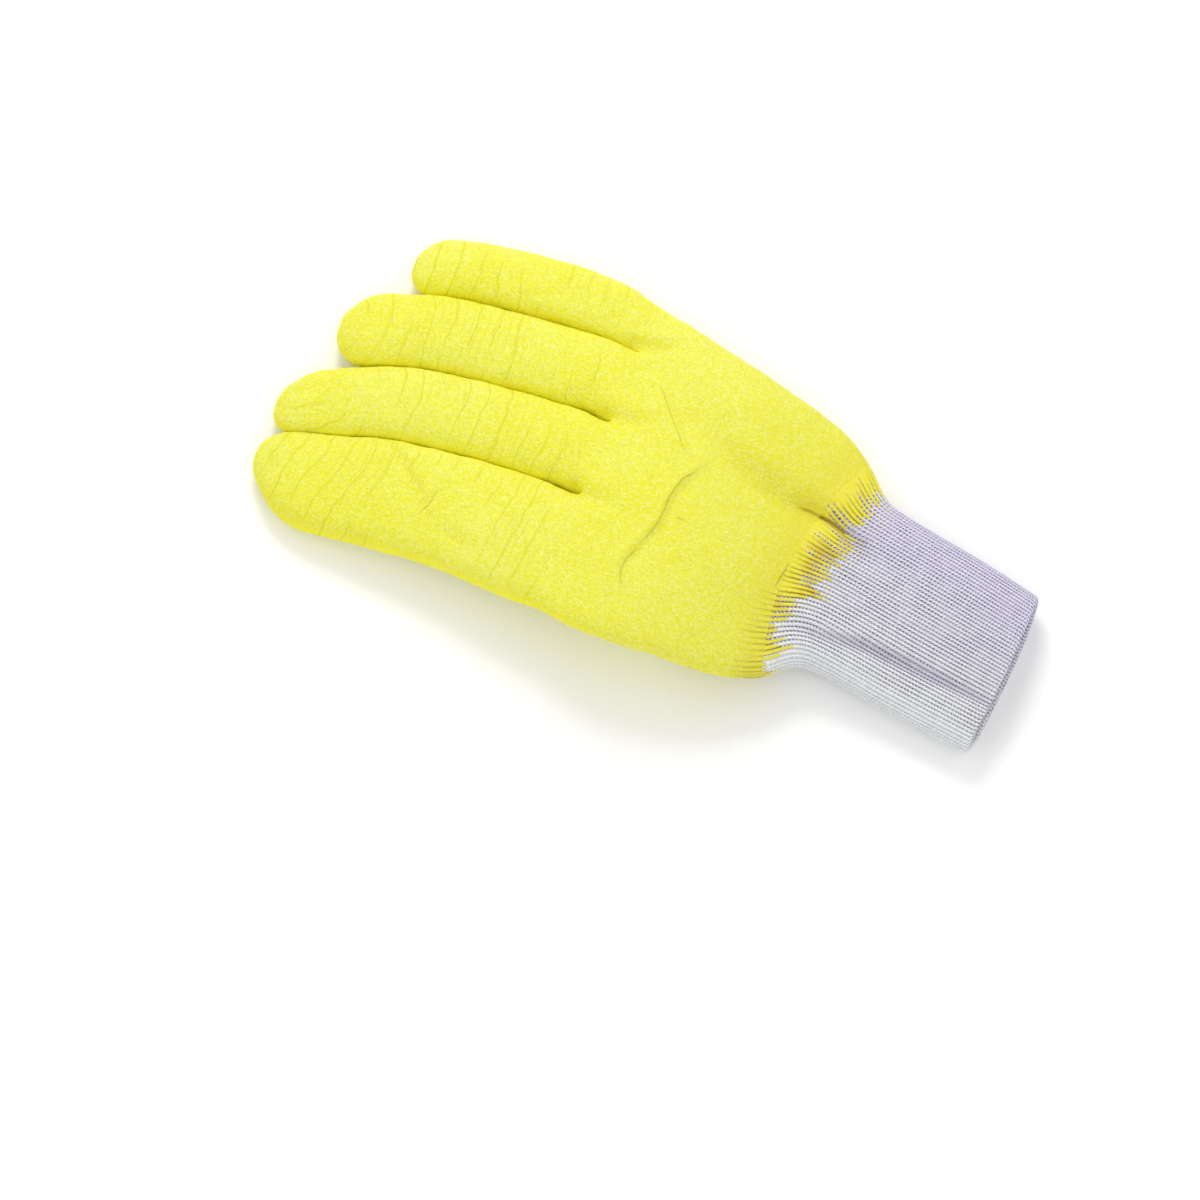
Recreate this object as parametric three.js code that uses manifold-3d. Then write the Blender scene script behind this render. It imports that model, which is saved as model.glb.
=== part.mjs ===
// A rubber-coated work glove for the left hand, lying palm up on a flat surface with its thumb tucked beneath.
// The coated hand is a hollow shell with four fingers and a thumb. A ribbed wrist is sewn to it: its first
// stretch is soaked by the same dip, and the rest is the bare rib knit of the cuff.
// Units are millimetres. +X runs from the fingertips to the cuff, +Y from the forefinger to the little finger,
// and +Z up out of the palm. The origin is on the surface, under the middle of the glove.
import * as THREE from 'three';
import { LoftGeometry } from 'three/addons/geometries/LoftGeometry.js';
import { mergeVertices } from 'three/addons/utils/BufferGeometryUtils.js';
import Module from 'manifold-3d';

const wasm = await Module();
wasm.setup();

// Driving dimensions.
const COAT_WALL = 1.8; // knitted liner with its rubbery coat
const KNIT_WALL = 2.4; // rib knit, folded double
const PIECE_GAP = 0.35; // clearance between pieces that meet
const SEAM_STEP = 0.6; // how far the coated hand stands proud of the ribs at the wrist seam
const RIBS_AROUND = 80;
const RIB_DEPTH = 0.7;
const LEAST_HALF_HOLLOW = 0.4; // the deepest fold leaves this much on either side of the middle
const HAND_FORM = { squareness: 2.7, folded: true }; // squareness is the exponent of a superellipse
const FINGER_FORM = { squareness: 2.5, folded: false };

// Where the pieces begin and end along X, at the sides of the glove.
const KNUCKLES_X = -34;
const SEAM_X = 65;
const DIP_LINE_X = 79; // where the coat ends on the ribs
const HEM_X = 136.5;
const DIP_TOOTH_REACH = 2.2; // the ragged edge of the coat runs this far to either side of its line
const RIBS_PER_TOOTH = 2;

// How finely each form is faceted.
const SIDES = { palmOutside: 52, palmInside: 40, fingerOutside: 16, fingerInside: 12 };
const STEPS = { palm: 19, finger: 6, bandOutside: 2, cuffOutside: 3, bandInside: 1, cuffInside: 2 };

// Sections of the hand and cuff from the knuckles to the hem. low is a section's underside. heading turns it
// about Z and roll tips it about X, in degrees. bow draws the middle of both faces towards the fingers.
const BODY = [
  { x: -34, y: 7.0, halfWidth: 58.2, low: 7.6, thick: 13.0, heading: 0, roll: 4.6, bow: 0 },
  { x: -16, y: 3.6, halfWidth: 59.2, low: 8.2, thick: 16.4, heading: -1, roll: 5.6, bow: 0 },
  { x: 3, y: -1.3, halfWidth: 58.3, low: 9.4, thick: 17.8, heading: -4, roll: 6.8, bow: 0 },
  { x: 22, y: -4.6, halfWidth: 55.6, low: 9.8, thick: 18.2, heading: -5, roll: 6.6, bow: 1 },
  { x: 40, y: -7.1, halfWidth: 52.0, low: 8.4, thick: 17.8, heading: -6, roll: 5.2, bow: 3 },
  { x: 53, y: -8.6, halfWidth: 48.5, low: 6.2, thick: 17.4, heading: -6.5, roll: 3.8, bow: 6 },
  { x: 65, y: -10.1, halfWidth: 41.8, low: 4, thick: 17.4, heading: -7, roll: 2.4, bow: 8 },
  { x: 73.5, y: -11.2, halfWidth: 33.6, low: 2.4, thick: 18.4, heading: -9.5, roll: 1, bow: 7 },
  { x: 81, y: -12.0, halfWidth: 31.3, low: 1.2, thick: 18.8, heading: -12, roll: 0, bow: 5 },
  { x: 108, y: -17.2, halfWidth: 30.8, low: -0.8, thick: 18.4, heading: -11, roll: 0, bow: 0 },
  { x: 136.5, y: -23.3, halfWidth: 29.6, low: -1.2, thick: 17.8, heading: -5.3, roll: 0, bow: -1.5 },
];

// Sections of each finger from inside the palm to the tip, where it rounds off over tipLength.
const FINGERS = {
  little: {
    tipLength: 11,
    rows: [
      { x: -6, y: 51.4, halfWidth: 8.8, low: 6.0, thick: 12.5 },
      { x: -28, y: 55.4, halfWidth: 10.5, low: 4.2, thick: 14.5 },
      { x: -52, y: 57.0, halfWidth: 11.0, low: 1.6, thick: 14.5 },
      { x: -78, y: 55.4, halfWidth: 10.4, low: -0.4, thick: 14.0 },
      { x: -98.5, y: 50.6, halfWidth: 9.7, low: -0.6, thick: 13.0 },
    ],
  },
  ring: {
    tipLength: 14,
    rows: [
      { x: -6, y: 31.8, halfWidth: 11.8, low: 8.2, thick: 14.0 },
      { x: -28, y: 31.1, halfWidth: 13.5, low: 6.2, thick: 15.5 },
      { x: -56, y: 31.4, halfWidth: 13.6, low: 3.2, thick: 15.5 },
      { x: -84, y: 30.2, halfWidth: 13.6, low: 0.2, thick: 15.0 },
      { x: -101, y: 25.4, halfWidth: 12.9, low: -0.6, thick: 14.0 },
      { x: -115, y: 22.0, halfWidth: 12.6, low: -0.6, thick: 13.0 },
    ],
  },
  middle: {
    tipLength: 14,
    rows: [
      { x: -6, y: 2.4, halfWidth: 12.2, low: 11.0, thick: 14.0 },
      { x: -28, y: 2.8, halfWidth: 13.8, low: 8.8, thick: 15.5 },
      { x: -56, y: 3.7, halfWidth: 13.6, low: 5.0, thick: 15.5 },
      { x: -86, y: 2.2, halfWidth: 13.5, low: 1.2, thick: 15.0 },
      { x: -106, y: -3.2, halfWidth: 12.9, low: -0.6, thick: 14.0 },
      { x: -126, y: -10.4, halfWidth: 11.8, low: -0.6, thick: 13.0 },
    ],
  },
  index: {
    tipLength: 18,
    rows: [
      { x: -6, y: -35.6, halfWidth: 19.8, low: 13.6, thick: 14.6 },
      { x: -28, y: -33.0, halfWidth: 21.2, low: 10.8, thick: 15.8 },
      { x: -56, y: -30.4, halfWidth: 19.9, low: 6.6, thick: 15.5 },
      { x: -86, y: -31.0, halfWidth: 19.4, low: 2.2, thick: 15.0 },
      { x: -106, y: -33.6, halfWidth: 18.0, low: -0.4, thick: 14.0 },
      { x: -126.4, y: -30.6, halfWidth: 14.6, low: -0.6, thick: 13.0 },
    ],
  },
  thumb: {
    tipLength: 12,
    rows: [
      { x: 46, y: -33, halfWidth: 15.5, low: 12.5, thick: 8.0 },
      { x: 28, y: -35, halfWidth: 15.0, low: 4.6, thick: 11.0 },
      { x: 8, y: -32, halfWidth: 14.0, low: -0.4, thick: 10.4 },
      { x: -14, y: -26, halfWidth: 13.0, low: -0.6, thick: 10.0 },
      { x: -38, y: -20, halfWidth: 11.5, low: -0.6, thick: 9.4 },
    ],
  },
};

// Folds pressed into the palm and the cuff, each along a line of [x, y] points. A groove sinks by depth over
// width. A step stands height above the far side of its line, on the side towards the fingers. fade says which
// end dies out.
const FINGER_LINES = [
  { kind: 'groove', points: [[-44, 45.4], [-24, 45.2], [-2, 51.0]], depth: 5.0, width: 4.6, fade: 'end' },
  { kind: 'groove', points: [[-44, 17.4], [-24, 17.0], [-2, 18.8]], depth: 5.0, width: 4.6, fade: 'end' },
  { kind: 'groove', points: [[-44, -10.8], [-24, -11.8], [2, -16.0]], depth: 5.0, width: 4.6, fade: 'end' },
];
const FOLDS = [
  ...FINGER_LINES,
  { kind: 'groove', points: [[6, 24], [30, 19], [54, 9], [76, 2]], depth: 3.6, width: 6.5, fade: 'wrist' },
  { kind: 'step', points: [[18, 10.5], [13, -4], [8, -21], [5, -36]], height: 2.2, width: 8.0, fade: 'both' },
  { kind: 'groove', points: [[66, -33], [88, -31], [110, -33], [141, -37]], depth: 2.4, width: 3.6, fade: 'both' },
];

const DEGREES = Math.PI / 180;
const FULL_TURN = 2 * Math.PI;

// Reads a table of sections at any x, smoothly through its rows, which run in one direction along X.
function tableReader(rows) {
  const columns = Object.keys(rows[0]).filter((column) => column !== 'x');
  const slope = (i, column) => {
    const [before, after] = [rows[Math.max(i - 1, 0)], rows[Math.min(i + 1, rows.length - 1)]];
    return (after[column] - before[column]) / (after.x - before.x);
  };
  const way = Math.sign(rows.at(-1).x - rows[0].x);
  return (x) => {
    const beyond = rows.findIndex((row) => (row.x - x) * way > 0);
    const i = beyond < 0 ? rows.length - 2 : Math.max(beyond - 1, 0);
    const span = rows[i + 1].x - rows[i].x;
    const t = (x - rows[i].x) / span;
    const section = { x, heading: 0, roll: 0, bow: 0 };
    for (const column of columns) {
      const [from, to] = [rows[i][column], rows[i + 1][column]];
      const [leave, arrive] = [slope(i, column) * span, slope(i + 1, column) * span];
      const [square, cube] = [t * t, t * t * t];
      section[column] =
        (2 * cube - 3 * square + 1) * from +
        (cube - 2 * square + t) * leave +
        (3 * square - 2 * cube) * to +
        (cube - square) * arrive;
    }
    return { ...section, fullWidth: section.halfWidth };
  };
}

// The same section with its faces moved in by a wall, or shrunk about its middle.
function thinned(section, wall) {
  const { halfWidth, low, thick } = section;
  return { ...section, halfWidth: halfWidth - wall, low: low + wall, thick: thick - 2 * wall };
}

function shrunk(section, scale) {
  const { halfWidth, low, thick } = section;
  return { ...section, halfWidth: halfWidth * scale, low: low + (thick * (1 - scale)) / 2, thick: thick * scale };
}

const signedPower = (value, power) => Math.sign(value) * Math.abs(value) ** power;

// How near (x, y) is to a fold's line: the distance, the side (1 towards the fingers) and the share of the
// line passed at the nearest point.
function nearestOnLine(points, x, y) {
  let best = { distance: Infinity, side: 1, share: 0 };
  for (let i = 0; i < points.length - 1; i++) {
    const [from, to] = [new THREE.Vector2(...points[i]), new THREE.Vector2(...points[i + 1])];
    const along = to.sub(from);
    const here = new THREE.Vector2(x, y).sub(from);
    const t = THREE.MathUtils.clamp(here.dot(along) / along.lengthSq(), 0, 1);
    const distance = here.distanceTo(along.clone().multiplyScalar(t));
    if (distance < best.distance) {
      best = { distance, side: along.cross(here) < 0 ? 1 : -1, share: (i + t) / (points.length - 1) };
    }
  }
  return best;
}

const FADES = {
  end: (share) => 1 - THREE.MathUtils.smoothstep(share, 0.3, 1),
  wrist: (share) => THREE.MathUtils.smoothstep(share, 0, 0.6) - THREE.MathUtils.smoothstep(share, 0.8, 1),
  both: (share) => Math.sin(Math.PI * THREE.MathUtils.clamp(share, 0.08, 0.92)),
};

// Height that folds add to a face of the palm at (x, y).
function foldRelief(folds, x, y) {
  let height = 0;
  for (const fold of folds) {
    const near = nearestOnLine(fold.points, x, y);
    const strength = FADES[fold.fade](near.share) * Math.exp(-((near.distance / fold.width) ** 2));
    const side = near.side * Math.min(1, near.distance / 2);
    height += fold.kind === 'groove' ? -fold.depth * strength : (side * fold.height * strength) / 2;
  }
  return height;
}

// The folds press on the upper face and die away round the sides. Below, only the lines between fingers do.
// Nothing is pressed through the middle of the section.
function pressed(up, facing, { x, y }) {
  const relief = foldRelief(facing > 0 ? FOLDS : FINGER_LINES, x, y) * Math.min(1, 1.6 * Math.abs(facing));
  return Math.sign(up) * Math.max(Math.abs(up) + relief, Math.min(Math.abs(up), LEAST_HALF_HOLLOW));
}

// A place in a section, across from its middle and up from its middle.
function placed(section, across, up) {
  const bowed = -section.bow * (1 - (across / section.fullWidth) ** 2);
  const point = new THREE.Vector3(bowed, across, up);
  point.applyAxisAngle(new THREE.Vector3(1, 0, 0), -section.roll * DEGREES);
  point.applyAxisAngle(new THREE.Vector3(0, 0, 1), section.heading * DEGREES);
  return point.add(new THREE.Vector3(section.x, section.y, section.low + section.thick / 2));
}

// One point of a section's superellipse, at an angle from its +Y side towards +Z.
function sectionPoint(section, angle, floor, { squareness, folded }) {
  const facing = Math.sin(angle);
  const across = section.halfWidth * signedPower(Math.cos(angle), 2 / squareness);
  const smooth = (section.thick / 2) * signedPower(facing, 2 / squareness);
  const up = folded ? pressed(smooth, facing, placed(section, across, smooth)) : smooth;
  const point = placed(section, across, up);
  point.z = Math.max(point.z, floor);
  return point;
}

const ring = (section, sides, floor, form) =>
  Array.from({ length: sides }, (_, i) => sectionPoint(section, (i / sides) * FULL_TURN, floor, form));

// Evenly spaced values from one number to another, both included.
const evenly = (from, to, steps) => Array.from({ length: steps + 1 }, (_, i) => from + ((to - from) * i) / steps);

// A closed surface as a solid: points that coincide are merged, and triangles that collapse are dropped.
function solidFromGeometry(geometry) {
  const bare = new THREE.BufferGeometry();
  bare.setAttribute('position', geometry.attributes.position);
  bare.setIndex(geometry.index);
  const merged = mergeVertices(bare, 1e-4);
  const index = merged.index.array;
  const triVerts = [];
  for (let i = 0; i < index.length; i += 3) {
    const [a, b, c] = [index[i], index[i + 1], index[i + 2]];
    if (a !== b && b !== c && c !== a) triVerts.push(a, b, c);
  }
  return new wasm.Manifold(
    new wasm.Mesh({
      numProp: 3,
      vertProperties: merged.attributes.position.array,
      triVerts: new Uint32Array(triVerts),
    }),
  );
}

// A loft through sections that run towards +X. Each end closes on the line through the middle of its section.
function cappedSolid(sections, sides, floor, form) {
  const closing = ({ low, thick, ...section }) => ({ ...section, low: low + thick / 2, thick: 0 });
  const all = [closing(sections[0]), ...sections, closing(sections.at(-1))];
  return solidFromGeometry(new LoftGeometry(all.map((section) => ring(section, sides, floor, form))));
}

// A tube with a wall: out along its outside, and back along its inside to where it began.
const tubeSolid = (outside, inside) =>
  solidFromGeometry(new LoftGeometry([...outside, ...inside.reverse(), outside[0]]));

const bodyAt = tableReader(BODY);

// The hand between the knuckles and the wrist seam, thinned by inset. It swells to the step at the seam.
function palmSolid(inset, sides) {
  const [first, last] = inset > 0 ? [KNUCKLES_X + inset, SEAM_X + 8] : [KNUCKLES_X, SEAM_X];
  const sections = evenly(first, last, STEPS.palm).map((x) => {
    const swell = SEAM_STEP * THREE.MathUtils.smoothstep(x, SEAM_X - 30, SEAM_X);
    return thinned(bodyAt(x), inset - swell);
  });
  const endFace = { ...shrunk(sections.at(-1), 0.6), x: last + 0.02 };
  return cappedSolid([...sections, endFace], sides, inset, HAND_FORM);
}

// One finger thinned by inset, rounded off at the tip like an ellipsoid.
function fingerSolid(finger, inset, sides) {
  const sectionAt = tableReader(finger.rows);
  const [rootX, tipX] = [finger.rows[0].x, finger.rows.at(-1).x + inset];
  const domeX = tipX + finger.tipLength;
  const domeXs = [0, 25, 45, 62, 75, 86].map((degrees) => domeX - finger.tipLength * Math.sin(degrees * DEGREES));
  const sections = [...evenly(rootX, domeX, STEPS.finger).slice(0, -1), ...domeXs].map((x) => {
    const intoTip = Math.max(0, domeX - x) / finger.tipLength;
    return shrunk(thinned(sectionAt(x), inset), Math.sqrt(1 - intoTip ** 2));
  });
  return cappedSolid(sections.reverse(), sides, inset, FINGER_FORM);
}

const joined = (solids) => solids.reduce((whole, solid) => whole.add(solid));

function coatedHand() {
  const fingers = Object.values(FINGERS);
  const outside = joined([
    palmSolid(0, SIDES.palmOutside),
    ...fingers.map((finger) => fingerSolid(finger, 0, SIDES.fingerOutside)),
  ]);
  const inside = joined([
    palmSolid(COAT_WALL, SIDES.palmInside),
    ...fingers.map((finger) => fingerSolid(finger, COAT_WALL, SIDES.fingerInside)),
  ]);
  return outside.subtract(inside);
}

// How far the coat creeps past its line at one rib, in alternate teeth of uneven reach.
function dipTooth(rib) {
  const tooth = Math.floor(rib / RIBS_PER_TOOTH);
  return DIP_TOOTH_REACH * (tooth % 2 === 0 ? 1 : -1) * (0.7 + 0.3 * Math.sin(2.3 * tooth));
}

// Angles at which equal lengths of a section's outline begin.
function evenAngles(section, count) {
  const fine = ring(section, 16 * count, 0, HAND_FORM);
  const reached = [0];
  for (let i = 1; i <= fine.length; i++) reached.push(reached[i - 1] + fine[i - 1].distanceTo(fine[i % fine.length]));
  return Array.from({ length: count }, (_, i) => {
    const first = reached.findIndex((length) => length >= (i / count) * reached.at(-1));
    return (first / fine.length) * FULL_TURN;
  });
}
const RIB_ANGLES = evenAngles(bodyAt((DIP_LINE_X + HEM_X) / 2), 2 * RIBS_AROUND);

// A ring of the ribbed wrist at x(rib). Every rib is a crest and a valley.
function ribRing(xAtRib, inset) {
  return RIB_ANGLES.map((angle, i) => {
    const valley = inset === 0 && i % 2 === 1 ? RIB_DEPTH : 0;
    const section = thinned(bodyAt(xAtRib(Math.floor(i / 2))), inset + valley);
    return sectionPoint(section, angle, inset + valley, HAND_FORM);
  });
}

// A stretch of the ribbed wrist between two edges, each given as x at a rib.
function ribbedTube(startAt, endAt, outsideSteps, insideSteps) {
  const rings = (inset, steps) =>
    evenly(0, 1, steps).map((share) =>
      ribRing((rib) => THREE.MathUtils.lerp(startAt(rib), endAt(rib), share), inset),
    );
  return tubeSolid(rings(0, outsideSteps), rings(KNIT_WALL, insideSteps));
}

function meshFromSolid(solid, name, material) {
  const { vertProperties, triVerts } = solid.getMesh();
  const geometry = new THREE.BufferGeometry();
  geometry.setAttribute('position', new THREE.BufferAttribute(vertProperties, 3));
  geometry.setIndex(new THREE.BufferAttribute(triVerts, 1));
  geometry.computeVertexNormals();
  const mesh = new THREE.Mesh(geometry, material);
  mesh.name = name;
  return mesh;
}

const rubberCoat = new THREE.MeshStandardMaterial({ color: 0xf2ea2e, roughness: 0.75, metalness: 0 });
const soakedRib = new THREE.MeshStandardMaterial({ color: 0xe3cf23, roughness: 0.8, metalness: 0 });
const cottonRib = new THREE.MeshStandardMaterial({ color: 0xd5d6e4, roughness: 0.95, metalness: 0 });

const seamEdge = () => SEAM_X + PIECE_GAP;
const dipEdge = (rib) => DIP_LINE_X + dipTooth(rib);
const knitEdge = (rib) => dipEdge(rib) + PIECE_GAP;
const hemEdge = () => HEM_X;
const dippedBand = ribbedTube(seamEdge, dipEdge, STEPS.bandOutside, STEPS.bandInside);
const knitCuff = ribbedTube(knitEdge, hemEdge, STEPS.cuffOutside, STEPS.cuffInside);

const glove = new THREE.Group();
glove.add(meshFromSolid(coatedHand(), 'coated_hand', rubberCoat));
glove.add(meshFromSolid(dippedBand, 'dipped_rib_band', soakedRib));
glove.add(meshFromSolid(knitCuff, 'knit_cuff', cottonRib));

// Centres the glove on its origin.
const middle = new THREE.Box3().setFromObject(glove).getCenter(new THREE.Vector3());
glove.position.set(-middle.x, -middle.y, 0);

export default glove;
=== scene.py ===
# %% [markdown]
# A rubber-coated work glove lying palm up, rebuilt from plain measurements. The CAD frame comes first: it
# says where every piece lies, and everything below is placed in the same metres and the same axes.

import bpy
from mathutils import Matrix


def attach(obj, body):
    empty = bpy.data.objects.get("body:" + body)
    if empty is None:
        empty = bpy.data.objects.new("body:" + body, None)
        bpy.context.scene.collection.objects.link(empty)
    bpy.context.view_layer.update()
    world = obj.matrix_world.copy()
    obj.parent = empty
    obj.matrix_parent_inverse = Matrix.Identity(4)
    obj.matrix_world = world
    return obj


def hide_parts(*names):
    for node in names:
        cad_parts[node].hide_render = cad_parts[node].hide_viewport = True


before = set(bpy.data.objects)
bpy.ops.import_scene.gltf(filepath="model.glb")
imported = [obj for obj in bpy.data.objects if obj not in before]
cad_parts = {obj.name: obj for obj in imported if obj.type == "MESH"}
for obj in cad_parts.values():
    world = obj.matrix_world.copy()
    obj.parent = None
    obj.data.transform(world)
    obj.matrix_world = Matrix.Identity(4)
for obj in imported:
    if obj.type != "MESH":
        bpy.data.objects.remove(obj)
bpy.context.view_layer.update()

# %% [markdown]
# Blender keeps positions in metres, while a glove is easiest to think of in millimetres. So each shape is
# worked out in millimetres, from the same tables as the CAD solids, and moved to metres at the end.

# %% Tools and the change to metres
import bisect
import math
import bmesh
import bpy
from mathutils import Matrix, Vector, noise

MM = 0.001
TABLE_CENTRE = Vector((6.44, 4.19, 0.0))  # where the tables have the middle of the glove


def to_frame(bm):
    """Move a mesh from the tables' millimetres to the frame's metres."""
    bmesh.ops.translate(bm, vec=-TABLE_CENTRE, verts=bm.verts)
    bmesh.ops.scale(bm, vec=(MM, MM, MM), verts=bm.verts)


def new_piece(name, bm):
    """Make an object at the origin from a mesh, with smooth faces."""
    mesh = bpy.data.meshes.new(name)
    for face in bm.faces:
        face.smooth = True
    bm.to_mesh(mesh)
    bm.free()
    piece = bpy.data.objects.new(name, mesh)
    bpy.context.scene.collection.objects.link(piece)
    print(name, "has", len(mesh.vertices), "points and", len(mesh.polygons), "faces")
    return piece


# %% [markdown]
# The photograph looks down at the glove from about 70 degrees, from the forefinger's side, and a little from
# the cuff's. A long lens keeps the near and far edges of something this flat at one scale.

# %% Camera
CAMERA_AZIMUTH = math.radians(19)
CAMERA_ELEVATION = math.radians(70)
LENS_MM = 400.0
FRAME_WIDTH = 0.400  # metres of floor across the picture
AIM = Vector((-0.0076, -0.0428, 0.0))

camera_data = bpy.data.cameras.new("camera")
camera_data.lens = LENS_MM
camera_data.sensor_width = 36.0
camera = bpy.data.objects.new("camera", camera_data)
bpy.context.scene.collection.objects.link(camera)
away = Vector((
    math.sin(CAMERA_AZIMUTH) * math.cos(CAMERA_ELEVATION),
    -math.cos(CAMERA_AZIMUTH) * math.cos(CAMERA_ELEVATION),
    math.sin(CAMERA_ELEVATION),
))
distance = FRAME_WIDTH * LENS_MM / camera_data.sensor_width
camera.location = AIM + away * distance
camera.rotation_euler = (-away).to_track_quat("-Z", "Y").to_euler()
bpy.context.scene.camera = camera
print("camera stands", round(distance, 3), "m away")

# %% [markdown]
# The picture is bright and nearly without shadow, with the light coming from beyond the little finger. One
# big lamp there gives each finger a pale upper edge and a deeper lower one, and the white world fills in.

# %% Floor, world and lamps
def area_lamp(name, place, target, size, power):
    """Add a square lamp that faces a target."""
    data = bpy.data.lights.new(name, "AREA")
    data.size = size
    data.energy = power
    lamp = bpy.data.objects.new(name, data)
    lamp.location = place
    lamp.rotation_euler = (Vector(target) - Vector(place)).to_track_quat("-Z", "Y").to_euler()
    bpy.context.scene.collection.objects.link(lamp)


area_lamp("key_lamp", (-0.35, 0.75, 0.85), (0, 0, 0), 0.45, 5.4)
area_lamp("fill_lamp", (0.5, -0.7, 0.9), (0, 0, 0), 0.9, 2.5)
world = bpy.data.worlds.new("studio")
world.use_nodes = True
world.node_tree.nodes["Background"].inputs["Color"].default_value = (1.0, 1.0, 1.0, 1.0)
world.node_tree.nodes["Background"].inputs["Strength"].default_value = 0.78
bpy.context.scene.world = world

floor_mesh = bmesh.new()
bmesh.ops.create_grid(floor_mesh, x_segments=1, y_segments=1, size=3.0)
floor = new_piece("floor", floor_mesh)

# %% [markdown]
# The glove is described by tables. Each row is one cross-section, and a smooth curve runs through the rows.
# Rows are read at any x, so the same few numbers give a coarse cage or hundreds of fine rings of ribs.

# %% Tables of sections
# Each row: x, y, half width, underside, thickness, heading, roll in degrees, and how far the middle bows.
BODY_COLUMNS = ("x", "y", "half_width", "low", "thick", "heading", "roll", "bow")
BODY = [
    (-34, 7.0, 58.2, 7.6, 13.0, 0, 4.6, 0),
    (-16, 3.6, 59.2, 8.2, 16.4, -1, 5.6, 0),
    (3, -1.3, 58.3, 9.4, 17.8, -4, 6.8, 0),
    (22, -4.6, 55.6, 9.8, 18.2, -5, 6.6, 1),
    (40, -7.1, 52.0, 8.4, 17.8, -6, 5.2, 3),
    (53, -8.6, 48.5, 6.2, 17.4, -6.5, 3.8, 6),
    (65, -10.1, 41.8, 4.0, 17.4, -7, 2.4, 8),
    (73.5, -11.2, 33.6, 2.4, 18.4, -9.5, 1, 7),
    (81, -12.0, 31.3, 1.2, 18.8, -12, 0, 5),
    (108, -17.2, 30.8, -0.8, 18.4, -11, 0, 0),
    (136.5, -23.3, 29.6, -1.2, 17.8, -5.3, 0, -1.5),
]

# Each row: x, y, half width, underside, thickness. The last row is the tip, rounded off over tip_length.
FINGER_COLUMNS = ("x", "y", "half_width", "low", "thick")
FINGERS = {
    "little": (11, [
        (-6, 51.4, 8.8, 6.0, 12.5), (-28, 55.4, 10.5, 4.2, 14.5), (-52, 57.0, 11.0, 1.6, 14.5),
        (-78, 55.7, 10.7, -0.4, 14.0), (-98.5, 51.6, 10.7, -0.6, 13.0)]),
    "ring": (14, [
        (-6, 31.8, 11.8, 8.2, 14.0), (-28, 31.1, 13.5, 6.2, 15.5), (-56, 31.4, 13.6, 3.2, 15.5),
        (-84, 30.2, 13.6, 0.2, 15.0), (-101, 26.0, 13.5, -0.6, 14.0), (-115, 23.2, 13.6, -0.6, 13.0)]),
    "middle": (14, [
        (-6, 2.4, 12.2, 11.0, 14.0), (-28, 2.8, 13.8, 8.8, 15.5), (-56, 3.7, 13.6, 5.0, 15.5),
        (-86, 2.2, 13.5, 1.2, 15.0), (-106, -3.2, 12.9, -0.6, 14.0), (-126, -10.4, 11.8, -0.6, 13.0)]),
    "index": (18, [
        (-6, -35.6, 19.8, 13.6, 14.6), (-28, -33.0, 21.2, 10.8, 15.8), (-56, -30.4, 19.9, 6.6, 15.5),
        (-86, -30.6, 19.0, 2.2, 15.0), (-106, -32.4, 16.8, -0.4, 14.0), (-126.4, -29.1, 13.1, -0.6, 13.0)]),
}


def read_table(rows, columns, x):
    """Read a table of rows at x, smoothly through its rows."""
    way = 1 if rows[-1][0] > rows[0][0] else -1
    beyond = next((i for i, row in enumerate(rows) if (row[0] - x) * way > 0), len(rows) - 1)
    i = min(max(beyond - 1, 0), len(rows) - 2)
    span = rows[i + 1][0] - rows[i][0]
    t = (x - rows[i][0]) / span
    section = {"x": x, "heading": 0.0, "roll": 0.0, "bow": 0.0}
    for c in range(1, len(columns)):
        slopes = []
        for j in (i, i + 1):
            before, after = rows[max(j - 1, 0)], rows[min(j + 1, len(rows) - 1)]
            slopes.append((after[c] - before[c]) / (after[0] - before[0]) * span)
        section[columns[c]] = (
            (2 * t ** 3 - 3 * t ** 2 + 1) * rows[i][c] + (t ** 3 - 2 * t ** 2 + t) * slopes[0]
            + (3 * t ** 2 - 2 * t ** 3) * rows[i + 1][c] + (t ** 3 - t ** 2) * slopes[1])
    section["full_width"] = section["half_width"]  # an inner wall bows as its outer one does
    return section


print("the glove runs from x =", FINGERS["index"][1][-1][0], "to", BODY[-1][0], "mm")

# %% [markdown]
# A cross-section is a superellipse: fuller at its corners than an ellipse, as a flattened tube of cloth is.
# The bow shifts the middle of a section along the glove, which is how the wrist seam curves.

# %% Points of a section
HAND_SQUARENESS = 2.7
FINGER_SQUARENESS = 2.5


def thinned(section, wall):
    """The same section with its faces moved in by a wall."""
    return {**section, "half_width": section["half_width"] - wall,
            "low": section["low"] + wall, "thick": section["thick"] - 2 * wall}


def shrunk(section, scale):
    """The same section scaled about its middle."""
    return {**section, "half_width": section["half_width"] * scale,
            "low": section["low"] + section["thick"] * (1 - scale) / 2, "thick": section["thick"] * scale}


def signed_power(value, power):
    """A value raised to a power with its sign kept."""
    return math.copysign(abs(value) ** power, value)


def placed(section, across, up):
    """A place in a section, across from its middle and up from its middle."""
    bowed = -section["bow"] * (1 - (across / section["full_width"]) ** 2)
    point = Vector((bowed, across, up))
    point.rotate(Matrix.Rotation(math.radians(-section["roll"]), 3, "X"))
    point.rotate(Matrix.Rotation(math.radians(section["heading"]), 3, "Z"))
    return point + Vector((section["x"], section["y"], section["low"] + section["thick"] / 2))


def section_point(section, angle, squareness, floor=0.0):
    """One point of a section, at an angle from its +Y side towards +Z, and never below a height."""
    across = section["half_width"] * signed_power(math.cos(angle), 2 / squareness)
    up = section["thick"] / 2 * signed_power(math.sin(angle), 2 / squareness)
    point = placed(section, across, up)
    point.z = max(point.z, floor)
    return point


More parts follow.
